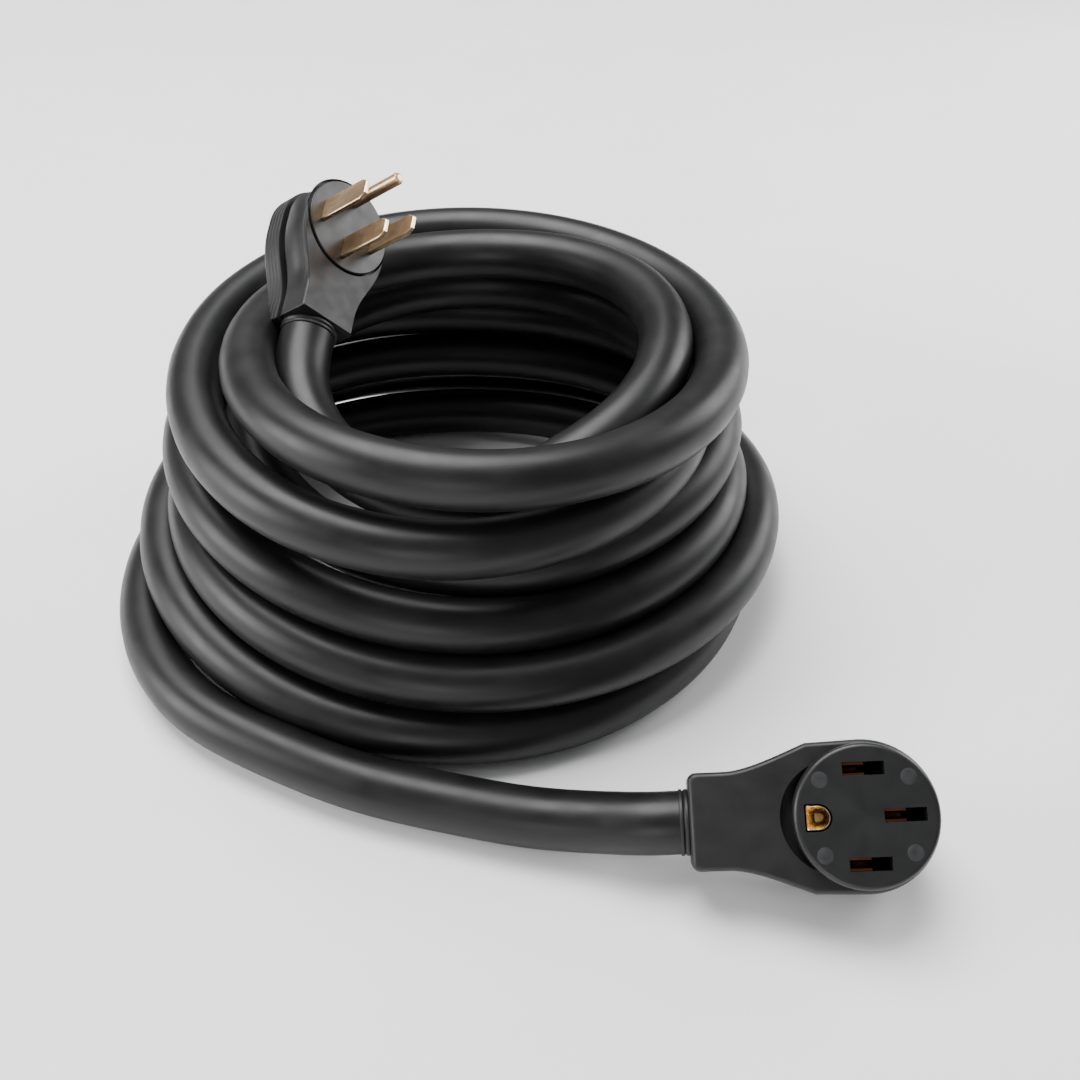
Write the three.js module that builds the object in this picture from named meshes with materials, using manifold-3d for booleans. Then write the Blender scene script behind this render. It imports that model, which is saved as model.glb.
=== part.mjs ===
// A 50 A shore power cord: a heavy four-core cable in a loose coil, a moulded four-blade plug lying on
// top of the coil and a moulded four-slot connector lying in front of it, both at right angles to the
// cable. Millimetres, +Z up, origin on the floor in the middle of the whole cord.
import * as THREE from "three";
import { mergeVertices } from "three/addons/utils/BufferGeometryUtils.js";
import Module from "manifold-3d";

const wasm = await Module();
wasm.setup();

// Driving dimensions
const GAP = 0.3; // left between neighbouring pieces
const CABLE = 24; // outer diameter of the cable's jacket
const NEUTRAL_RATIO = 0.405; // a pole's distance from the middle of the face, in hot spacings
const GROUND_RATIO = 0.51;
const COLLAR = { length: 3, radius: 12.8, bore: 8 };
const CLEAR = 1; // how far a cutter reaches past what it cuts

// Each end has its own frame: origin in the middle of the face, +X along the cable's line and away from
// the cable, +Z out of the face. The face stands proud of its moulding by the rise. The flare is the
// control points of a Bezier curve from the neck's side to the head's.
const CONNECTOR = {
  spacing: 34, // between the middles of the two hot poles
  neckEnd: -63.7,
  neckHalf: 18,
  flare: [[-50, 18], [-42, 18], [-30, 23.2], [-19.5, 27.4]],
  headCentre: 0,
  headRadius: 28,
  rise: 7,
  back: -38,
  edge: 4,
  faceRadius: 26.4,
  pocketRadius: 23.4,
  pocketFloor: -34,
  plateBottom: -13,
  bore: 10,
  throat: { from: -44, half: 14.2, floor: -33.5, roof: -12 },
  cableAxis: -22,
  wire: { radius: 2.6, half: 4, level: -30.2, top: -25 },
  neutralSide: 1,
};
const PLUG = {
  spacing: 28,
  neckEnd: -50.5,
  neckHalf: 14.3,
  flare: [[-40.5, 14.3], [-29, 14.3], [-19.5, 23], [-6, 23]],
  headCentre: 0.7,
  headRadius: 23,
  rise: 0.8,
  back: -31,
  edge: 2.5,
  faceRadius: 21.8,
  pocketRadius: 20.3,
  pocketFloor: -27,
  plateBottom: -10,
  bore: 9,
  throat: { from: -38.5, half: 11.3, floor: -24.5, roof: -4.5 },
  cableAxis: -13.3,
  wire: { radius: 2, half: 3.2, level: -21.4, top: -14.8 },
  neutralSide: -1,
};

const SLOT = { length: 16.4, width: 5 };
const CLIP = { length: 15, width: 6.4, gap: 2.8, top: -13.6, bottom: -24.6, floor: 2 };
const CARRIER_BOTTOM = -24;
const GROUND_SLEEVE = { hole: 5.25, outer: 4.9, bore: 4.1, top: -1.5 };
const RIVET = { x: 16, y: 13.5, radius: 3.1, depth: 1.3 };
const BLADE = {
  width: 11,
  thickness: 2.2,
  length: 27.9,
  root: -14.5,
  rootWidth: 8.5,
  chamfer: { across: 2, along: 3 },
};
const SHOULDER = -3; // depth below the face at which a blade or pin narrows to its root
const GROUND_PIN = { radius: 2.7, length: 30.3, tip: 1.6, rootRadius: 2 };

// Where the pieces lie: the coil's ring, the two ends, and the cable's free stretches.
const COIL = { x: -27, y: -7 };
const COIL_PROFILE = [
  [76, 0],
  [140, 0],
  [143, 6],
  [141, 60],
  [131, 112],
  [124, 126],
  [106, 128],
  [90, 111],
  [76, 86],
];
const CONNECTOR_PLACE = { at: [118.2, -210.9, 46.85], turn: [38.4, -5.2, 2.2], order: "XYZ" };
const PLUG_PLACE = { at: [-85.8, 32.6, 156.5], turn: [52, -25, 82.6], order: "ZYX" };
const LEAD_POINTS = [[-99, -36, 117]];
const TAIL_POINTS = [
  [-183, 4, 12.1],
  [-180, -48, 12.1],
  [-150, -123, 12.1],
  [-111, -149, 12.1],
  [-72, -167, 12.2],
  [-34, -178, 12.4],
  [-2, -186, 14],
  [26, -191.5, 18],
];
const CENTRE = { x: -22.9, y: -47.8 }; // the middle of the footprint in the layout above

const MATERIALS = {
  jacket: plain(0x1b1b1c, 0.45, 0),
  moulding: plain(0x2b2b2d, 0.55, 0),
  face: plain(0x303032, 0.6, 0),
  rivet: plain(0x6a6a6c, 0.5, 0.2),
  carrier: plain(0x3a332c, 0.8, 0),
  copper: plain(0xb07a52, 0.35, 1),
  brass: plain(0xc9a45c, 0.3, 1),
  black: plain(0x141414, 0.6, 0),
  red: plain(0xa01c18, 0.6, 0),
  white: plain(0xd8d6cf, 0.6, 0),
  green: plain(0x1e6b35, 0.6, 0),
};

function plain(color, roughness, metalness) {
  return new THREE.MeshStandardMaterial({ color, roughness, metalness });
}

// A closed geometry as a solid that can be joined and cut.
function solid(geometry) {
  const bare = geometry.clone();
  bare.deleteAttribute("normal");
  bare.deleteAttribute("uv");
  const merged = mergeVertices(bare, 1e-4);
  const vertProperties = new Float32Array(merged.attributes.position.array);
  const triVerts = new Uint32Array(merged.index.array);
  return new wasm.Manifold(new wasm.Mesh({ numProp: 3, vertProperties, triVerts }));
}

function named(name, made, material) {
  const { vertProperties, triVerts } = made.getMesh();
  const geometry = new THREE.BufferGeometry();
  geometry.setAttribute("position", new THREE.BufferAttribute(vertProperties, 3));
  geometry.setIndex(new THREE.BufferAttribute(triVerts, 1));
  geometry.computeVertexNormals();
  const mesh = new THREE.Mesh(geometry, material);
  mesh.name = name;
  return mesh;
}

// Basic solids in an end's frame
function drum(radius, bottom, top, x = 0, y = 0, sides = 32) {
  const geometry = new THREE.CylinderGeometry(radius, radius, top - bottom, sides);
  geometry.rotateX(Math.PI / 2);
  geometry.translate(x, y, (top + bottom) / 2);
  return solid(geometry);
}

function rod(radius, from, to, z, sides = 24) {
  const geometry = new THREE.CylinderGeometry(radius, radius, to - from, sides);
  geometry.rotateZ(Math.PI / 2);
  geometry.translate((from + to) / 2, 0, z);
  return solid(geometry);
}

function block(length, width, bottom, top, x = 0, y = 0) {
  const geometry = new THREE.BoxGeometry(length, width, top - bottom);
  geometry.translate(x, y, (top + bottom) / 2);
  return solid(geometry);
}

function tube(curve, radius, steps, sides) {
  const section = new THREE.Shape();
  for (let i = 0; i < sides; i++) {
    const angle = (2 * Math.PI * i) / sides;
    const point = [radius * Math.cos(angle), radius * Math.sin(angle)];
    if (i === 0) section.moveTo(...point);
    else section.lineTo(...point);
  }
  return solid(new THREE.ExtrudeGeometry(section, { steps, extrudePath: curve }));
}

// The four poles of an end, in its own frame
function poles(end) {
  const { spacing, neutralSide } = end;
  return {
    hot_a: { x: 0, y: spacing / 2, colour: "black" },
    hot_b: { x: 0, y: -spacing / 2, colour: "red" },
    neutral: { x: neutralSide * NEUTRAL_RATIO * spacing, y: 0, colour: "white" },
    ground: { x: -neutralSide * GROUND_RATIO * spacing, y: 0, colour: "green" },
  };
}

// A round head, a concave flare and a straight neck
function outline(end) {
  const { neckEnd, neckHalf, flare, headCentre, headRadius } = end;
  const [start, ...rest] = flare;
  const shape = new THREE.Shape();
  shape.moveTo(neckEnd, -neckHalf);
  shape.lineTo(start[0], -start[1]);
  shape.bezierCurveTo(...rest.flatMap(([x, y]) => [x, -y]));
  shape.lineTo(headCentre, -headRadius);
  shape.absarc(headCentre, 0, headRadius, -Math.PI / 2, Math.PI / 2, false);
  shape.lineTo(...flare[3]);
  shape.bezierCurveTo(...flare[2], ...flare[1], ...start);
  shape.lineTo(neckEnd, neckHalf);
  shape.closePath();
  return shape;
}

// The moulded shell: open at the front for the face and at the neck for the cable's cores
function shell(end) {
  const thickness = -end.rise - end.back;
  const geometry = new THREE.ExtrudeGeometry(outline(end), {
    depth: thickness - 2 * end.edge,
    curveSegments: 9,
    bevelThickness: end.edge,
    bevelSize: end.edge,
    bevelOffset: -end.edge,
    bevelSegments: 2,
  });
  geometry.translate(0, 0, end.back + end.edge);
  const { from, half, floor, roof } = end.throat;
  return solid(geometry)
    .subtract(drum(end.pocketRadius, end.pocketFloor, 0))
    .subtract(rod(end.bore, end.neckEnd - CLEAR, 0, end.cableAxis))
    .subtract(block(-from, 2 * half, floor, roof, from / 2));
}

// The face: a proud disc with a plug of smaller radius that fills the shell's mouth
function faceDisc(end) {
  return drum(end.faceRadius, GAP - end.rise, 0, 0, 0, 48).add(
    drum(end.pocketRadius - GAP, end.plateBottom, 2 * GAP - end.rise, 0, 0, 40),
  );
}

function collar(end) {
  const to = end.neckEnd - GAP;
  return rod(COLLAR.radius, to - COLLAR.length, to, end.cableAxis).subtract(
    rod(COLLAR.bore, to - COLLAR.length - CLEAR, to + CLEAR, end.cableAxis),
  );
}

// The cores leave the neck two above two. The lower pair spreads to the hot poles, and the upper pair
// drops between them: one core to the pole near the neck, the other past it to the far pole.
function wire(end, name) {
  const pole = poles(end)[name];
  const { radius, half, level, top } = end.wire;
  const mouth = end.throat.from;
  const far = pole.x > 0;
  const across = name === "hot_a" || name === "neutral" ? half : -half;
  const low = end.cableAxis - half;
  const high = end.cableAxis + half;
  const side = Math.sign(across) * (end.throat.half - radius - 0.8);
  const hotPath = [
    [mouth + 1, across, low],
    [mouth + 14, 0.95 * side, level + 1],
    [-18, side, level],
    [-9, 0.8 * pole.y, level],
  ];
  const middlePath = [
    [mouth + 5, across, high - 1],
    [mouth + 18, (far ? 1.2 : 0.9) * across, level + 2],
  ];
  if (far) middlePath.push([-14, 1.45 * across, level], [pole.x - 9, 0.8 * across, level]);
  const hot = pole.x === 0;
  const points = [
    [end.neckEnd + 0.5, across, hot ? low : high],
    ...(hot ? hotPath : middlePath),
    [pole.x, pole.y, level + 2],
    [pole.x, pole.y, top],
  ];
  return tube(new THREE.CatmullRomCurve3(vectors(points), false, "centripetal"), radius, 14, 8);
}

function wires(end, prefix) {
  return Object.entries(poles(end)).map(([name, pole]) =>
    named(`${prefix}_wire_${name}`, wire(end, name), MATERIALS[pole.colour]),
  );
}

// Connector pieces
function connectorFace() {
  const at = poles(CONNECTOR);
  const through = CONNECTOR.plateBottom - CLEAR;
  let face = faceDisc(CONNECTOR);
  for (const name of ["hot_a", "hot_b", "neutral"]) {
    face = face.subtract(block(SLOT.length, SLOT.width, through, CLEAR, at[name].x, at[name].y));
  }
  face = face.subtract(drum(GROUND_SLEEVE.hole, through, CLEAR, at.ground.x, 0, 24));
  for (const [x, y] of rivetPlaces()) {
    face = face.subtract(drum(RIVET.radius + GAP, -RIVET.depth - GAP, CLEAR, x, y, 20));
  }
  return face;
}

function rivetPlaces() {
  return [
    [RIVET.x, RIVET.y],
    [-RIVET.x, RIVET.y],
    [-RIVET.x, -RIVET.y],
    [RIVET.x, -RIVET.y],
  ];
}

function carrier() {
  const at = poles(CONNECTOR);
  const through = CARRIER_BOTTOM - CLEAR;
  let body = drum(CONNECTOR.pocketRadius - GAP, CARRIER_BOTTOM, CONNECTOR.plateBottom - GAP, 0, 0, 40);
  for (const name of ["hot_a", "hot_b", "neutral"]) {
    const { x, y } = at[name];
    body = body.subtract(block(CLIP.length + CLEAR, CLIP.width + CLEAR, through, 0, x, y));
  }
  return body.subtract(drum(GROUND_SLEEVE.outer + 2 * GAP, through, 0, at.ground.x, 0, 24));
}

// A spring clip of two leaves joined at the bottom
function clip(name) {
  const { x, y } = poles(CONNECTOR)[name];
  const { length, width, gap, top, bottom, floor } = CLIP;
  return block(length, width, bottom, top, x, y).subtract(
    block(length + CLEAR, gap, bottom + floor, top + CLEAR, x, y),
  );
}

function groundSleeve() {
  const { x, y } = poles(CONNECTOR).ground;
  const { outer, bore, top } = GROUND_SLEEVE;
  return drum(outer, CLIP.bottom, top, x, y, 24).subtract(
    drum(bore, CLIP.bottom + CLIP.floor, top + CLEAR, x, y, 24),
  );
}

function connector() {
  const group = placed(CONNECTOR_PLACE);
  group.add(
    named("connector_body", shell(CONNECTOR), MATERIALS.moulding),
    named("connector_face", connectorFace(), MATERIALS.face),
    named("connector_carrier", carrier(), MATERIALS.carrier),
    named("connector_collar", collar(CONNECTOR), MATERIALS.moulding),
    named("contact_ground", groundSleeve(), MATERIALS.brass),
    ...["hot_a", "hot_b", "neutral"].map((name) => named(`contact_${name}`, clip(name), MATERIALS.copper)),
    ...wires(CONNECTOR, "connector"),
    ...rivetPlaces().map(([x, y], i) =>
      named(`face_rivet_${i + 1}`, drum(RIVET.radius, -RIVET.depth, 0, x, y, 20), MATERIALS.rivet),
    ),
  );
  return group;
}

// Plug pieces
function plugFace() {
  const at = poles(PLUG);
  const around = 2 * GAP;
  const through = PLUG.plateBottom - CLEAR;
  let face = faceDisc(PLUG);
  for (const name of ["hot_a", "hot_b", "neutral"]) {
    const { x, y } = at[name];
    face = face
      .subtract(block(BLADE.width + around, BLADE.thickness + around, SHOULDER, CLEAR, x, y))
      .subtract(block(BLADE.rootWidth + around, BLADE.thickness + around, through, CLEAR, x, y));
  }
  return face
    .subtract(drum(GROUND_PIN.radius + GAP, SHOULDER, CLEAR, at.ground.x, 0, 24))
    .subtract(drum(GROUND_PIN.rootRadius + GAP, through, CLEAR, at.ground.x, 0, 24));
}

// A flat blade with a chamfered tip and a narrower root that sits in the face
function blade(name) {
  const { x, y } = poles(PLUG)[name];
  const { width, thickness, length, root, rootWidth, chamfer } = BLADE;
  const shoulder = SHOULDER + GAP;
  const side = [
    [rootWidth / 2, root],
    [rootWidth / 2, shoulder],
    [width / 2, shoulder],
    [width / 2, length - chamfer.along],
    [width / 2 - chamfer.across, length],
  ];
  const shape = new THREE.Shape();
  shape.moveTo(-rootWidth / 2, root);
  for (const point of side) shape.lineTo(...point);
  for (const [across, along] of side.reverse()) shape.lineTo(-across, along);
  const geometry = new THREE.ExtrudeGeometry(shape, { depth: thickness, bevelEnabled: false });
  geometry.rotateX(Math.PI / 2);
  geometry.translate(x, y + thickness / 2, 0);
  return solid(geometry);
}

function groundPin() {
  const { x } = poles(PLUG).ground;
  const { radius, length, tip, rootRadius } = GROUND_PIN;
  const profile = [
    [0, BLADE.root],
    [rootRadius, BLADE.root],
    [rootRadius, SHOULDER + GAP],
    [radius, SHOULDER + GAP],
    [radius, length - tip],
    [radius - tip, length],
    [0, length],
  ];
  const geometry = new THREE.LatheGeometry(profile.map((p) => new THREE.Vector2(...p)), 20);
  geometry.rotateX(Math.PI / 2);
  geometry.translate(x, 0, 0);
  return solid(geometry);
}

function plug() {
  const group = placed(PLUG_PLACE);
  group.add(
    named("plug_body", shell(PLUG), MATERIALS.moulding),
    named("plug_face", plugFace(), MATERIALS.face),
    named("plug_collar", collar(PLUG), MATERIALS.moulding),
    named("pin_ground", groundPin(), MATERIALS.brass),
    ...["hot_a", "hot_b", "neutral"].map((name) => named(`blade_${name}`, blade(name), MATERIALS.copper)),
    ...wires(PLUG, "plug"),
  );
  return group;
}

function placed({ at, turn, order }) {
  const group = new THREE.Group();
  group.position.set(...at);
  group.rotation.set(...turn.map(THREE.MathUtils.degToRad), order);
  return group;
}

// The cable: its coil as one ring, and the two free stretches that join the ring to the ends
function coil() {
  const profile = [...COIL_PROFILE, COIL_PROFILE[0]].map((p) => new THREE.Vector2(...p));
  const geometry = new THREE.LatheGeometry(profile, 48);
  geometry.rotateX(Math.PI / 2);
  geometry.translate(COIL.x, COIL.y, 0);
  return solid(geometry);
}

// The middle of the cable where it meets an end's collar, and a point a little way out along its line
function cableExit(end, place) {
  const group = placed(place);
  group.updateMatrixWorld();
  const from = end.neckEnd - COLLAR.length - 2 * GAP;
  return [0, 10].map((out) => new THREE.Vector3(from - out, 0, end.cableAxis).applyMatrix4(group.matrixWorld));
}

function freeCable(points, steps) {
  const curve = new THREE.CatmullRomCurve3(points, false, "centripetal");
  return tube(curve, CABLE / 2, steps, 12);
}

function vectors(points) {
  return points.map((p) => new THREE.Vector3(...p));
}

function cable() {
  const lead = [...cableExit(PLUG, PLUG_PLACE), ...vectors(LEAD_POINTS)];
  const tail = [...vectors(TAIL_POINTS), ...cableExit(CONNECTOR, CONNECTOR_PLACE).reverse()];
  return [
    named("cord_lead", freeCable(lead, 4), MATERIALS.jacket),
    named("cord_coil", coil(), MATERIALS.jacket),
    named("cord_tail", freeCable(tail, 24), MATERIALS.jacket),
  ];
}

const cord = new THREE.Group();
cord.add(connector(), plug(), ...cable());
cord.position.set(-CENTRE.x, -CENTRE.y, 0);

export default cord;
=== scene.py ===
"""A 50 A shore power cord: a heavy four-core cable in a loose coil, with a moulded plug lying on the coil
and a moulded connector in front of it.

The scene is in metres, +Z up. Each moulded end has its own frame, in millimetres: origin in the middle of
the face, +X along the cable's line and away from the cable, +Z out of the face.
"""

import math
from types import SimpleNamespace as Sizes

import bpy
import numpy as np
from mathutils import Matrix, Vector


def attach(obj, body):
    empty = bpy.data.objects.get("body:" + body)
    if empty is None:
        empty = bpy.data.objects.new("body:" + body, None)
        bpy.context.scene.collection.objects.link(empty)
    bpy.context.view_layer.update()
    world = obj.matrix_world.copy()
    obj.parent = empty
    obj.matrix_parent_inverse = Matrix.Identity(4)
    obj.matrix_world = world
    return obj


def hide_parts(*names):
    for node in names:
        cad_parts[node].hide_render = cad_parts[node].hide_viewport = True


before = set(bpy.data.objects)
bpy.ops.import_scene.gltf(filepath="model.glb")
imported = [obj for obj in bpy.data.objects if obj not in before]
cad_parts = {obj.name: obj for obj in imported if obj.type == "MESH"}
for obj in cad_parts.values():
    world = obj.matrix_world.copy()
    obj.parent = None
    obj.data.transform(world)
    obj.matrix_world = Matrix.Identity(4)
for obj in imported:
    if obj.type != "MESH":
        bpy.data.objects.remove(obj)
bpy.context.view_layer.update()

MM = 0.001
CENTRE = Vector((-0.0229, -0.0478, 0))  # the middle of the footprint, in the layout used below
CAMERA = Sizes(place=(0, -0.5064, 0.4249), lens=43.33, sensor=36)

# The cable
CABLE = 0.024
POINT_SPACING = 0.004
COIL_AXIS = (-0.033, 0.0)
# Radius and height of the cable's middle at the front, right, back and left of each turn, from the top
TURNS = [
    [(0.092, 0.098), (0.089, 0.1225), (0.085, 0.116), (0.0925, 0.1235)],
    [(0.116, 0.127), (0.1135, 0.1165), (0.1105, 0.1155), (0.1195, 0.1125)],
    [(0.124, 0.099), (0.0985, 0.0975), (0.1015, 0.0895), (0.101, 0.0825)],
    [(0.1015, 0.069), (0.1155, 0.077), (0.1145, 0.0665), (0.129, 0.0775)],
    [(0.122, 0.0565), (0.119, 0.0515), (0.1055, 0.0445), (0.1285, 0.052)],
    [(0.137, 0.0385), (0.1355, 0.035), (0.1205, 0.025), (0.145, 0.0355)],
    [(0.1435, 0.014), (0.121, 0.016), (0.0965, 0.0135), (0.150, 0.012)],
]
COIL_STEP = 30  # degrees between the route's points on the coil
LEAD = [(-0.101, -0.042, 0.1145), (-0.0835, -0.0695, 0.1035)]
TAIL = [
    (-0.150, -0.123, 0.0121),
    (-0.111, -0.149, 0.0121),
    (-0.072, -0.167, 0.0122),
    (-0.034, -0.178, 0.0124),
    (-0.002, -0.186, 0.0140),
    (0.026, -0.1915, 0.0180),
]

# The moulded ends
CONNECTOR = Sizes(
    at=(0.1182, -0.2109, 0.04685),
    turns=[("X", 38.4), ("Y", -5.2), ("Z", 2.2)],
    spacing=34,
    neck_end=-63.7,
    neck_half=18,
    corner=3,
    flare=[(-50, 18), (-42, 18), (-30, 23.2), (-19.5, 27.4)],
    head_centre=0,
    head_radius=28,
    cable_axis=-22,
    neutral_side=1,
)
PLUG = Sizes(
    at=(-0.0858, 0.0326, 0.1565),
    turns=[("Z", 82.6), ("Y", -25), ("X", 52)],
    spacing=28,
    neck_end=-50.5,
    neck_half=14.3,
    corner=0.8,
    flare=[(-40.5, 14.3), (-29, 14.3), (-19.5, 23), (-6, 23)],
    head_centre=0.7,
    head_radius=23,
    cable_axis=-13.3,
    neutral_side=-1,
)
NEUTRAL_RATIO = 0.405  # a pole's distance from the middle of the face, in hot spacings
GROUND_RATIO = 0.51
COLLAR_LENGTH = 3.6

SEGMENTS = 72  # around a turned piece


def layout(point):
    """A point of the layout in the part's frame."""
    return Vector(point) - CENTRE


def end_matrix(end):
    """From an end's own frame, in metres, to the part's frame."""
    matrix = Matrix.Translation(layout(end.at))
    for axis, degrees in end.turns:
        matrix = matrix @ Matrix.Rotation(math.radians(degrees), 4, axis)
    return matrix


def poles(end):
    """The middles of the four poles in an end's frame."""
    spacing, side = end.spacing, end.neutral_side
    return {
        "hot_a": (0, spacing / 2),
        "hot_b": (0, -spacing / 2),
        "neutral": (side * NEUTRAL_RATIO * spacing, 0),
        "ground": (-side * GROUND_RATIO * spacing, 0),
    }


# Camera


def add_camera():
    data = bpy.data.cameras.new("camera")
    data.lens = CAMERA.lens
    data.sensor_width = CAMERA.sensor
    camera = bpy.data.objects.new("camera", data)
    bpy.context.scene.collection.objects.link(camera)
    camera.location = layout(CAMERA.place)
    towards = layout((0, 0, 0)) - camera.location
    camera.rotation_euler = towards.to_track_quat("-Z", "Y").to_euler()
    bpy.context.scene.camera = camera


# Materials: each is made of noise in the piece's own space


class Nodes:
    """A new material's node tree, with its shader and a noise that follows the piece."""

    def __init__(self, name, specular=0.5):
        self.material = bpy.data.materials.new(name)
        self.material.use_nodes = True
        self.tree = self.material.node_tree
        self.shader = self.tree.nodes["Principled BSDF"]
        self.shader.inputs["Specular IOR Level"].default_value = specular
        self.place = self.tree.nodes.new("ShaderNodeTexCoord").outputs["Object"]

    def noise(self, scale, detail=4, stretch=(1, 1, 1)):
        mapping = self.tree.nodes.new("ShaderNodeMapping")
        mapping.inputs["Scale"].default_value = stretch
        self.tree.links.new(self.place, mapping.inputs["Vector"])
        noise = self.tree.nodes.new("ShaderNodeTexNoise")
        noise.inputs["Scale"].default_value = scale
        noise.inputs["Detail"].default_value = detail
        self.tree.links.new(mapping.outputs["Vector"], noise.inputs["Vector"])
        return noise.outputs["Fac"]

    def colour(self, factor, dark, light, low=0.35, high=0.65):
        ramp = self.tree.nodes.new("ShaderNodeValToRGB")
        ramp.color_ramp.elements[0].position = low
        ramp.color_ramp.elements[0].color = (*dark, 1)
        ramp.color_ramp.elements[1].position = high
        ramp.color_ramp.elements[1].color = (*light, 1)
        self.tree.links.new(factor, ramp.inputs["Fac"])
        self.tree.links.new(ramp.outputs["Color"], self.shader.inputs["Base Color"])

    def roughness(self, factor, smooth, rough):
        spread = self.tree.nodes.new("ShaderNodeMapRange")
        spread.inputs["From Min"].default_value = 0.3
        spread.inputs["From Max"].default_value = 0.7
        spread.inputs["To Min"].default_value = smooth
        spread.inputs["To Max"].default_value = rough
        self.tree.links.new(factor, spread.inputs["Value"])
        self.tree.links.new(spread.outputs["Result"], self.shader.inputs["Roughness"])

    def relief(self, factor, strength, distance):
        bump = self.tree.nodes.new("ShaderNodeBump")
        bump.inputs["Strength"].default_value = strength
        bump.inputs["Distance"].default_value = distance
        self.tree.links.new(factor, bump.inputs["Height"])
        self.tree.links.new(bump.outputs["Normal"], self.shader.inputs["Normal"])


def jacket():
    """Satin black rubber with faint handling marks."""
    nodes = Nodes("jacket", specular=0.34)
    nodes.colour(nodes.noise(35, 6), (0.0040, 0.0040, 0.0042), (0.0075, 0.0075, 0.0077))
    nodes.roughness(nodes.noise(70, 8), 0.36, 0.46)
    nodes.relief(nodes.noise(1400, 3), 0.12, 0.0002)
    return nodes.material


def moulding():
    """Moulded rubber, a little greyer than the jacket and finely grained."""
    nodes = Nodes("moulding", specular=0.38)
    nodes.colour(nodes.noise(60, 6), (0.0075, 0.0075, 0.0077), (0.0115, 0.0115, 0.0118))
    nodes.roughness(nodes.noise(110, 6), 0.40, 0.52)
    nodes.relief(nodes.noise(2200, 3), 0.2, 0.00015)
    return nodes.material


def face():
    """The hard plastic of the two faces."""
    nodes = Nodes("face", specular=0.42)
    nodes.colour(nodes.noise(80, 6), (0.0075, 0.0076, 0.0079), (0.0110, 0.0112, 0.0116))
    nodes.roughness(nodes.noise(120, 6), 0.34, 0.44)
    nodes.relief(nodes.noise(1800, 2), 0.12, 0.0001)
    return nodes.material


def rivet():
    nodes = Nodes("rivet", specular=0.4)
    nodes.colour(nodes.noise(300, 5), (0.015, 0.015, 0.016), (0.025, 0.025, 0.027))
    nodes.roughness(nodes.noise(400, 4), 0.45, 0.60)
    nodes.relief(nodes.noise(1500, 3), 0.3, 0.0001)
    return nodes.material


def carrier():
    nodes = Nodes("carrier")
    nodes.colour(nodes.noise(90, 5), (0.006, 0.006, 0.006), (0.010, 0.010, 0.010))
    nodes.roughness(nodes.noise(150, 4), 0.55, 0.75)
    nodes.relief(nodes.noise(1200, 3), 0.3, 0.0002)
    return nodes.material


def metal(name, dark, light, smooth, rough):
    """Drawn metal, brushed along the piece's own Z."""
    nodes = Nodes(name)
    nodes.colour(nodes.noise(160, 6), dark, light)
    brushed = nodes.noise(900, 3, (1, 1, 0.06))
    nodes.roughness(brushed, smooth, rough)
    nodes.relief(brushed, 0.15, 0.0001)
    nodes.shader.inputs["Metallic"].default_value = 1.0
    return nodes.material


def insulation(name, dark, light):
    nodes = Nodes(name)
    nodes.colour(nodes.noise(120, 4), dark, light)
    nodes.roughness(nodes.noise(200, 4), 0.4, 0.6)
    nodes.relief(nodes.noise(900, 3), 0.2, 0.0001)
    return nodes.material


def paper():
    """The pale floor."""
    nodes = Nodes("paper")
    nodes.colour(nodes.noise(6, 5), (0.90, 0.90, 0.90), (0.93, 0.93, 0.93))
    nodes.roughness(nodes.noise(20, 4), 0.7, 0.85)
    nodes.relief(nodes.noise(700, 3), 0.05, 0.0002)
    return nodes.material


def make_materials():
    return {
        "jacket": jacket(),
        "moulding": moulding(),
        "face": face(),
        "rivet": rivet(),
        "carrier": carrier(),
        "copper": metal("copper", (0.62, 0.42, 0.25), (0.80, 0.58, 0.37), 0.28, 0.42),
        # The contact leaves: copper painted dark red-brown, painted shade for their place deep in the
        # connector's slots
        "leaf_painted_shade": metal("leaf_painted_shade", (0.13, 0.045, 0.026), (0.22, 0.080, 0.044), 0.35, 0.50),
        "brass": metal("brass", (0.86, 0.64, 0.32), (0.96, 0.78, 0.48), 0.18, 0.28),
        "wire_black": insulation("wire_black", (0.008, 0.008, 0.008), (0.014, 0.014, 0.014)),
        "wire_red": insulation("wire_red", (0.30, 0.014, 0.012), (0.38, 0.020, 0.016)),
        "wire_white": insulation("wire_white", (0.60, 0.59, 0.56), (0.70, 0.69, 0.66)),
        "wire_green": insulation("wire_green", (0.012, 0.13, 0.035), (0.018, 0.18, 0.050)),
    }


# Mesh building, in millimetres in an end's frame


def arc(centre, radius, start, stop, steps):
    """Points on a circle from one angle to another, in degrees."""
    angles = [math.radians(start + (stop - start) * i / steps) for i in range(steps + 1)]
    return [(centre[0] + radius * math.cos(a), centre[1] + radius * math.sin(a)) for a in angles]


def bezier(controls, steps):
    a, b, c, d = (np.array(p, float) for p in controls)
    points = []
    for i in range(steps + 1):
        t = i / steps
        u = 1 - t
        points.append(tuple(u**3 * a + 3 * u * u * t * b + 3 * u * t * t * c + t**3 * d))
    return points


def outline(end, inset):
    """An end's outline drawn in by inset: straight neck, concave flare, shoulder and round head."""
    half = end.neck_half - inset
    start = end.neck_end + inset
    corner = max(end.corner - 0.5 * inset, 0.3)
    lower = arc((start + corner, corner - half), corner, 180, 270, 4)
    lower += [(x, inset - y) for x, y in bezier(end.flare, 12)]
    lower += arc((end.head_centre, 0), end.head_radius - inset, -90, 0, 18)
    upper = [(x, -y) for x, y in reversed(lower[:-1])]
    return lower + upper


def loft(rings):
    """Vertices and faces of a closed surface through rings of equally many points."""
    count = len(rings[0])
    vertices = [point for ring in rings for point in ring]
    faces = []
    for low in range(0, count * (len(rings) - 1), count):
        for i in range(count):
            j = (i + 1) % count
            faces.append((low + i, low + j, low + count + j, low + count + i))
    faces.append(tuple(reversed(range(count))))
    faces.append(tuple(range(len(vertices) - count, len(vertices))))
    return vertices, faces


def flat_ring(points, height):
    return [(x, y, height) for x, y in points]


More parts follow.
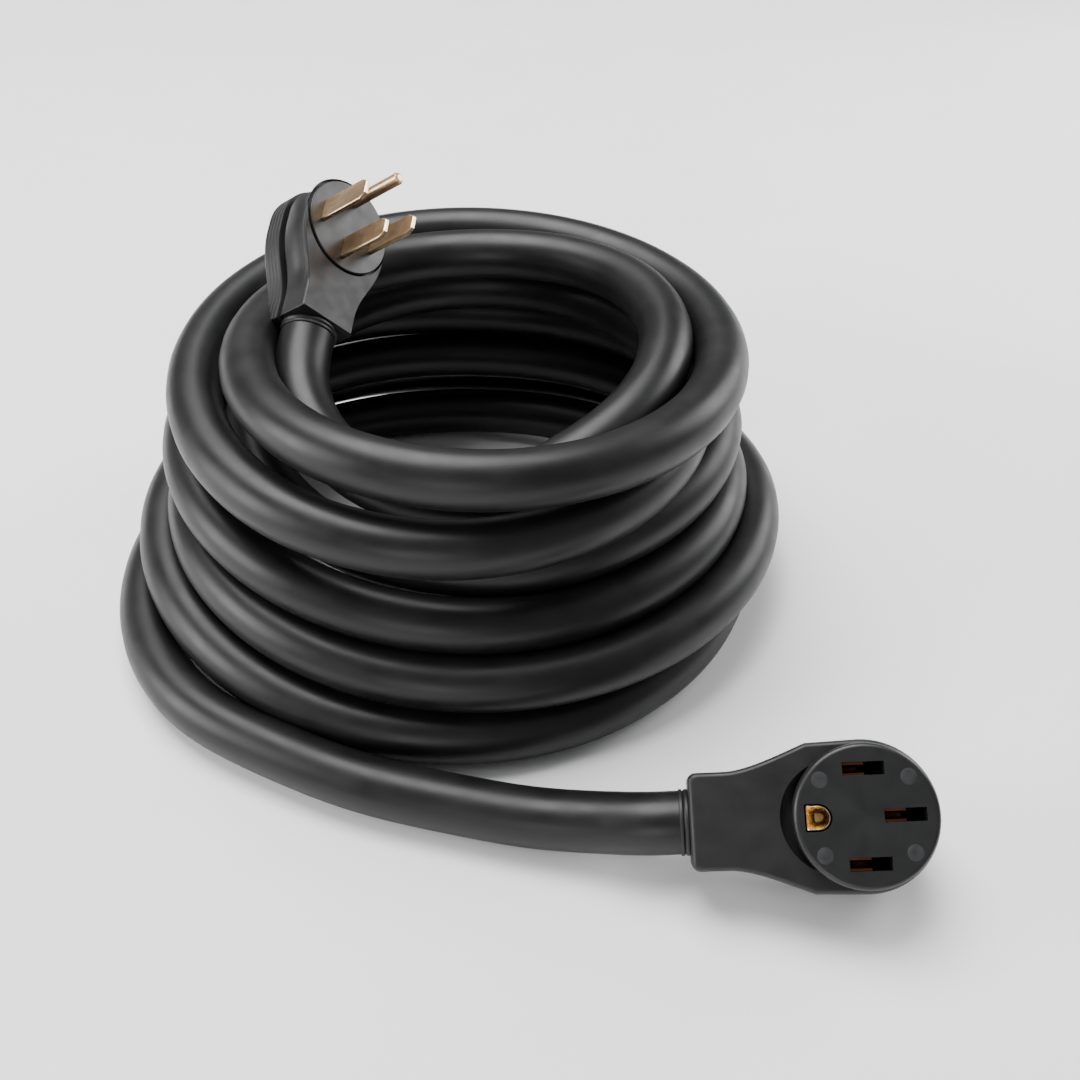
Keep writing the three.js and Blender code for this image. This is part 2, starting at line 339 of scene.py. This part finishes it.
def turned(profile, x=0, y=0, segments=SEGMENTS):
    """A closed surface of revolution about a line along Z; profile is (radius, height) from the bottom."""
    return loft([flat_ring(arc((x, y), r, 0, 360, segments)[:-1], z) for r, z in profile])


def joined(shapes):
    vertices, faces = [], []
    for some_vertices, some_faces in shapes:
        base = len(vertices)
        vertices += some_vertices
        faces += [tuple(base + i for i in face) for face in some_faces]
    return vertices, faces


def piece(name, shape, matrix, material, crease=32):
    """An object from a shape in millimetres, smooth except where faces meet at more than crease degrees."""
    vertices, faces = shape
    mesh = bpy.data.meshes.new(name)
    mesh.from_pydata([Vector(v) * MM for v in vertices], [], faces)
    mesh.materials.append(material)
    obj = bpy.data.objects.new(name, mesh)
    obj.matrix_world = matrix
    bpy.context.scene.collection.objects.link(obj)
    smooth(obj, crease)
    return obj


def smooth(obj, crease):
    """Smooth shading between the creases, with the large faces kept flat."""
    obj.data.polygons.foreach_set("use_smooth", [True] * len(obj.data.polygons))
    obj.data.set_sharp_from_angle(angle=math.radians(crease))
    obj.data.update()
    obj.modifiers.new("normals", "WEIGHTED_NORMAL").keep_sharp = True


def cut(obj, shapes, bevel=0, crease=32):
    """Takes shapes, in millimetres in the piece's frame, away from a piece and bevels the new edges."""
    cutters = []
    obj.modifiers.clear()
    for shape in shapes:
        cutter = piece("cutter", shape, obj.matrix_world, obj.data.materials[0])
        modifier = obj.modifiers.new("cut", "BOOLEAN")
        modifier.operation = "DIFFERENCE"
        modifier.solver = "EXACT"
        modifier.object = cutter
        cutters.append(cutter)
    if bevel:
        modifier = obj.modifiers.new("bevel", "BEVEL")
        modifier.width = bevel * MM
        modifier.segments = 3
        modifier.limit_method = "ANGLE"
        modifier.angle_limit = math.radians(50)
    bpy.context.view_layer.update()
    evaluated = obj.evaluated_get(bpy.context.evaluated_depsgraph_get())
    mesh = bpy.data.meshes.new_from_object(evaluated)
    obj.modifiers.clear()
    obj.data = mesh
    for cutter in cutters:
        bpy.data.objects.remove(cutter)
    smooth(obj, crease)


def box_shape(length, width, bottom, top, x=0, y=0):
    corners = [(-1, -1), (1, -1), (1, 1), (-1, 1)]
    points = [(x + sx * length / 2, y + sy * width / 2) for sx, sy in corners]
    return loft([flat_ring(points, bottom), flat_ring(points, top)])


def along_x(shape, level):
    """A shape turned about Z laid along X at a level: its Z becomes X."""
    vertices, faces = shape
    return [(z, y, level - x) for x, y, z in vertices], faces


def belongs(obj, slot, *nodes):
    """The piece is part of the object and stands for these CAD nodes; slot is not used."""
    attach(obj, "root")
    if nodes:
        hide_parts(*nodes)
    return obj


# Pieces that both ends have

# A hollow fades in along the neck, from this far past its end and over this length
HOLLOW = Sizes(start=8, span=16)


def body(name, end, sides, pocket, node):
    """The moulding as a stack of outlines; sides is (height, inset, hollow) from the back to the front.
    A hollow draws the flare and head in, and leaves the neck's end as it is."""
    rings = []
    for height, inset, hollow in sides:
        ring = []
        for (x, y), (hx, hy) in zip(outline(end, inset), outline(end, inset + hollow)):
            t = min(max((x - end.neck_end - HOLLOW.start) / HOLLOW.span, 0), 1)
            weight = t * t * (3 - 2 * t)
            ring.append((x + weight * (hx - x), y + weight * (hy - y), height))
        rings.append(ring)
    obj = piece(name, loft(rings), end_matrix(end), MATERIALS["moulding"])
    cut(obj, pocket)
    return belongs(obj, "moulding", node)


def collar(name, end, radius, node):
    """The short ring where the cable meets the neck: two rounded ribs with a groove between them."""
    start = end.neck_end - COLLAR_LENGTH
    rib = 0.42 * COLLAR_LENGTH
    profile = [(radius - 0.5, start)]
    for first in (start, end.neck_end - rib):
        profile += [(radius - 0.15, first + 0.12), (radius, first + 0.4)]
        profile += [(radius, first + rib - 0.4), (radius - 0.15, first + rib - 0.12)]
        profile += [(radius - 0.7, first + rib)]
    shape = along_x(turned(profile), end.cable_axis)
    obj = piece(name, shape, end_matrix(end), MATERIALS["moulding"])
    return belongs(obj, "moulding", node)


# Connector

FACE_RADIUS = 26.4
FACE_EDGE = 1.9
POCKET = Sizes(radius=23.4, floor=-34)
MOAT = Sizes(x=-9.8, radius=20.8, floor=-15)
SLOT = Sizes(length=15.2, width=4.9)
LEAF = Sizes(start=-0.48, stop=0.05, thickness=0.9)  # start and stop are in slot lengths
GROUND_HOLE = 5.0
RIVET = Sizes(x=16, y=13.5, radius=3.1)


def connector_body():
    sides = [
        (-38, 4, 0),
        (-37.6, 2.4, 0),
        (-36.4, 1.1, 0),
        (-34.6, 0.3, 0),
        (-32, 0, 0),
        (-23.4, 0, 0),
        (-23, 0.35, 0),
        (-22.6, 0, 0),
        (-9.2, 0, 0),
        (-8.2, 0.25, 0),
        (-7.3, 0.9, 0),
        (-7, 1.9, 0),
    ]
    pocket = turned([(POCKET.radius, POCKET.floor), (POCKET.radius, 1)])
    moat = turned([(MOAT.radius, MOAT.floor), (MOAT.radius, 1)], x=MOAT.x)
    return body("connector_moulding", CONNECTOR, sides, [pocket, moat], "connector_body")


def d_ring(x, radius, height, steps=14):
    """A ring flat on the side of the cable and round on the other."""
    corner = 0.15 * radius
    edge = corner - radius
    points = arc((x, 0), radius, -90, 90, steps)
    points += arc((x + edge, radius - corner), corner, 90, 180, 3)
    points += arc((x + edge, corner - radius), corner, 180, 270, 3)
    return flat_ring(points, height)


def connector_face():
    inner = POCKET.radius - 0.3
    profile = [(inner, -13), (inner, -7.2), (FACE_RADIUS, -6.9)]
    rim = arc((FACE_RADIUS - FACE_EDGE, -FACE_EDGE), FACE_EDGE, 0, 90, 6)
    obj = piece(
        "connector_front", turned(profile + rim, segments=96), end_matrix(CONNECTOR), MATERIALS["face"]
    )
    at = poles(CONNECTOR)
    holes = [box_shape(SLOT.length, SLOT.width, -20, 2, *at[n]) for n in ("hot_a", "hot_b", "neutral")]
    ground = at["ground"][0]
    holes.append(loft([d_ring(ground, GROUND_HOLE, -20), d_ring(ground, GROUND_HOLE, 2)]))
    cut(obj, holes, bevel=0.4)
    return belongs(obj, "face", "connector_face")


def leaves(name):
    """A contact: two copper leaves on a strip, with lips that open towards the slot."""
    x, y = poles(CONNECTOR)[name]
    start, stop = x + LEAF.start * SLOT.length, x + LEAF.stop * SLOT.length
    shapes = [box_shape(stop - start, 5, -24, -23, (start + stop) / 2, y)]
    for side in (-1, 1):
        rings = []
        for height, offset in [(-23.5, 1.9), (-10, 0.7), (-6.5, 0.8), (-4, 1.5)]:
            inner = y + side * offset
            outer = inner + side * LEAF.thickness
            low, high = min(inner, outer), max(inner, outer)
            corners = [(start, low), (stop, low), (stop, high), (start, high)]
            rings.append(flat_ring(corners, height))
        shapes.append(loft(rings))
    # The leaves take the copper painted dark, painted shade for the depth of the slot
    obj = piece(f"leaves_{name}", joined(shapes), end_matrix(CONNECTOR), MATERIALS["leaf_painted_shade"])
    return belongs(obj, "copper", f"contact_{name}")


def ground_cup():
    """A bright D-shaped sleeve whose walls slope in to a V at the bottom."""
    x = poles(CONNECTOR)["ground"][0]
    rings = [
        d_ring(x, 4.3, -22),
        d_ring(x, 4.3, -0.8),
        d_ring(x, 4.0, -0.7),
        d_ring(x + 0.8, 2.2, -4.5),
        d_ring(x + 0.9, 1.5, -7.5),
        d_ring(x + 0.9, 1.4, -19),
    ]
    obj = piece("ground_sleeve", loft(rings), end_matrix(CONNECTOR), MATERIALS["brass"], crease=20)
    return belongs(obj, "brass", "contact_ground")


def rivets():
    for number, (sx, sy) in enumerate([(1, 1), (-1, 1), (-1, -1), (1, -1)], 1):
        profile = [(RIVET.radius, -1.3), (RIVET.radius, -0.05), (RIVET.radius - 0.3, 0.08), (1.2, 0.14)]
        shape = turned(profile, sx * RIVET.x, sy * RIVET.y, 32)
        obj = piece(f"rivet_{number}", shape, end_matrix(CONNECTOR), MATERIALS["rivet"])
        belongs(obj, "rivet", f"face_rivet_{number}")


def build_connector():
    connector_body()
    connector_face()
    collar("connector_ring", CONNECTOR, 12.5, "connector_collar")
    for name in ("hot_a", "hot_b", "neutral"):
        leaves(name)
    ground_cup()
    rivets()


# Plug

PLUG_FACE = Sizes(radius=21.8, edge=0.5, back=-3, stem=17.7, stem_end=-10)
PLUG_POCKET = Sizes(radius=18, floor=-27, groove=22.7)
BLADE = Sizes(width=11, thickness=2.2, length=27.9, foot=-3, taper=2.4, tip=3.4)
PIN = Sizes(radius=2.7, length=30.3, tip=1.6, foot=-3)
RIB = Sizes(first=-28.8, count=4, pitch=2.3, depth=0.35, width=1.3, slope=0.3)


def plug_body():
    """Rounded and ribbed at the back, then a deep groove, a scalloped band and a crisp front edge."""
    sides = [(-31, 2.5, 0), (-30.4, 1, 0), (-29.2, 0.2, 0)]
    for number in range(RIB.count):
        start = RIB.first + number * RIB.pitch
        slope_end = start + RIB.width + RIB.slope
        sides += [(start, 0, 0), (start + RIB.width, 0, 0)]
        sides += [(slope_end, RIB.depth, 0), (start + RIB.pitch - RIB.slope, RIB.depth, 0)]
    sides += [
        (-19.2, 0, 0),
        (-18.9, 0.4, 0),
        (-18.7, 1.8, 1.8),
        (-16.5, 1.8, 1.8),
        (-16.3, 0.6, 0.6),
        (-15.7, 0.2, 0.8),
        (-13, 0.2, 2.4),
        (-9, 0.2, 3),
        (-5, 0.2, 2),
        (-3, 0.2, 0.5),
        (-1.9, 0.3, 0),
        (-1.1, 0.6, 0),
        (-0.8, 1.1, 0),
    ]
    pocket = turned([(PLUG_POCKET.radius, PLUG_POCKET.floor), (PLUG_POCKET.radius, 1)])
    groove = turned([(PLUG_POCKET.groove, PLUG_FACE.back), (PLUG_POCKET.groove, 1)])
    return body("plug_moulding", PLUG, sides, [pocket, groove], "plug_body")


def plug_face():
    radius, edge, stem, back = PLUG_FACE.radius, PLUG_FACE.edge, PLUG_FACE.stem, PLUG_FACE.back
    profile = [(stem, PLUG_FACE.stem_end), (stem, back - 0.3), (radius, back)]
    rim = arc((radius - edge, -edge), edge, 0, 90, 5)
    obj = piece("plug_front", turned(profile + rim), end_matrix(PLUG), MATERIALS["face"])
    return belongs(obj, "face", "plug_face")


def blade_ring(x, y, half_width, half_thickness, height):
    """A rectangle with small chamfers at its corners."""
    chamfer = 0.35
    points = []
    for sx, sy in [(1, -1), (1, 1), (-1, 1), (-1, -1)]:
        beside = (x + sx * half_width, y + sy * (half_thickness - chamfer))
        along = (x + sx * (half_width - chamfer), y + sy * half_thickness)
        points += [beside, along] if sx * sy > 0 else [along, beside]
    return flat_ring(points, height)


def blade(name):
    x, y = poles(PLUG)[name]
    half_width, half_thickness = BLADE.width / 2, BLADE.thickness / 2
    levels = [
        (BLADE.foot, half_width, half_thickness),
        (BLADE.length - BLADE.tip, half_width - 0.2, half_thickness),
        (BLADE.length - 0.5, half_width - BLADE.taper + 0.4, half_thickness - 0.1),
        (BLADE.length, half_width - BLADE.taper, half_thickness - 0.6),
    ]
    shape = loft([blade_ring(x, y, w, t, z) for z, w, t in levels])
    obj = piece(f"prong_{name}", shape, end_matrix(PLUG), MATERIALS["copper"], crease=25)
    return belongs(obj, "copper", f"blade_{name}")


def ground_pin():
    x, y = poles(PLUG)["ground"]
    radius, length, tip = PIN.radius, PIN.length, PIN.tip
    profile = [
        (radius, PIN.foot),
        (radius, length - tip),
        (radius - 0.35 * tip, length - 0.35 * tip),
        (radius - tip, length),
    ]
    obj = piece("prong_ground", turned(profile, x, y, 36), end_matrix(PLUG), MATERIALS["copper"])
    return belongs(obj, "copper", "pin_ground")


def build_plug():
    blades = [blade(name) for name in ("hot_a", "hot_b", "neutral")]
    ring = collar("plug_ring", PLUG, 12.4, "plug_collar")
    return [plug_body(), plug_face(), ring, ground_pin(), *blades]


# The cord


def spline(knots, values, where):
    """The natural cubic spline through values at knots, read at where."""
    knots = np.asarray(knots, float)
    values = np.asarray(values, float)
    if values.ndim == 1:
        return spline(knots, values[:, None], where)[:, 0]
    step = np.diff(knots)[:, None]
    slope = np.diff(values, axis=0) / step
    matrix = np.eye(len(knots))
    right = np.zeros_like(values)
    for i in range(1, len(knots) - 1):
        matrix[i, i - 1] = step[i - 1, 0]
        matrix[i, i] = 2 * (step[i - 1, 0] + step[i, 0])
        matrix[i, i + 1] = step[i, 0]
        right[i] = 6 * (slope[i] - slope[i - 1])
    bend = np.linalg.solve(matrix, right)
    i = np.clip(np.searchsorted(knots, where) - 1, 0, len(knots) - 2)
    after = (where - knots[i])[:, None]
    before = (knots[i + 1] - where)[:, None]
    width = step[i]
    curved = (bend[i] * before**3 + bend[i + 1] * after**3) / (6 * width)
    straight = (values[i] / width - bend[i] * width / 6) * before
    return curved + straight + (values[i + 1] / width - bend[i + 1] * width / 6) * after


def coil_points():
    """The coil's turns, from the front at the top, anticlockwise from above, to the left at the floor."""
    stations = [station for turn in TURNS for station in turn]
    angles = 270 + 90 * np.arange(len(stations))
    where = np.arange(angles[0], angles[-1] + 1, COIL_STEP)
    radius, height = spline(angles, stations, where).T
    x = COIL_AXIS[0] + radius * np.cos(np.radians(where))
    y = COIL_AXIS[1] + radius * np.sin(np.radians(where))
    return [tuple(p) for p in np.stack([x, y, height], -1)]


def cable_exit(end):
    """The middle of the cable where it meets an end's collar, and a point a little way out from it."""
    start = end.neck_end - COLLAR_LENGTH
    return [end_matrix(end) @ (Vector((start - out, 0, end.cable_axis)) * MM) for out in (0, 10)]


def cord_points():
    middle = [layout(p) for p in [*LEAD, *coil_points(), *TAIL]]
    rough = np.array([*cable_exit(PLUG), *middle, *reversed(cable_exit(CONNECTOR))])
    along = np.concatenate([[0], np.cumsum(np.linalg.norm(np.diff(rough, axis=0), axis=1))])
    count = int(along[-1] / POINT_SPACING)
    return spline(along, rough, np.linspace(0, along[-1], count))


def build_cord(plug_pieces):
    points = cord_points()
    curve = bpy.data.curves.new("cable", "CURVE")
    curve.dimensions = "3D"
    curve.bevel_depth = CABLE / 2
    curve.bevel_resolution = 8
    curve.use_fill_caps = True
    curve.materials.append(MATERIALS["jacket"])
    line = curve.splines.new("POLY")
    line.points.add(len(points) - 1)
    for point, place in zip(line.points, points):
        point.co = (*place, 1)
    line.use_smooth = True
    cord = bpy.data.objects.new("cable", curve)
    bpy.context.scene.collection.objects.link(cord)
    belongs(cord, "jacket", "cord_lead", "cord_coil", "cord_tail")


# CAD pieces that are shown as they are


def finish_cad_pieces():
    colours = {"hot_a": "wire_black", "hot_b": "wire_red", "neutral": "wire_white", "ground": "wire_green"}
    finishes = {"connector_carrier": "carrier"}
    for end in ("connector", "plug"):
        for pole, colour in colours.items():
            finishes[f"{end}_wire_{pole}"] = colour
    for name, finish in finishes.items():
        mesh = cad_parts[name].data
        mesh.materials.clear()
        mesh.materials.append(MATERIALS[finish])


# The setting


def add_floor():
    reach = 8
    corners = [(-reach, -reach, 0), (reach, -reach, 0), (reach, reach, 0), (-reach, reach, 0)]
    mesh = bpy.data.meshes.new("floor")
    mesh.from_pydata(corners, [], [(0, 1, 2, 3)])
    mesh.materials.append(paper())
    floor = bpy.data.objects.new("floor", mesh)
    bpy.context.scene.collection.objects.link(floor)


def add_light(name, place, size, power):
    """A square soft light that faces the coil."""
    data = bpy.data.lights.new(name, "AREA")
    data.size = size
    data.energy = power
    light = bpy.data.objects.new(name, data)
    bpy.context.scene.collection.objects.link(light)
    light.location = layout(place)
    towards = layout((0, 0, 0.05)) - light.location
    light.rotation_euler = towards.to_track_quat("-Z", "Y").to_euler()


def add_lights():
    add_light("overhead", (-0.4, 0.6, 2.1), 1.6, 100)
    add_light("left", (-1.3, -0.3, 0.5), 0.7, 18)
    add_light("front", (-0.3, -1.5, 0.5), 0.6, 5)
    add_light("back_right", (0.95, 0.5, 0.5), 0.6, 9)
    world = bpy.data.worlds.new("surroundings")
    world.use_nodes = True
    background = world.node_tree.nodes["Background"].inputs
    background["Color"].default_value = (0.97, 0.98, 1.0, 1)
    background["Strength"].default_value = 0.32
    bpy.context.scene.world = world


add_camera()
MATERIALS = make_materials()
build_cord(build_plug())
build_connector()
finish_cad_pieces()
add_floor()
add_lights()
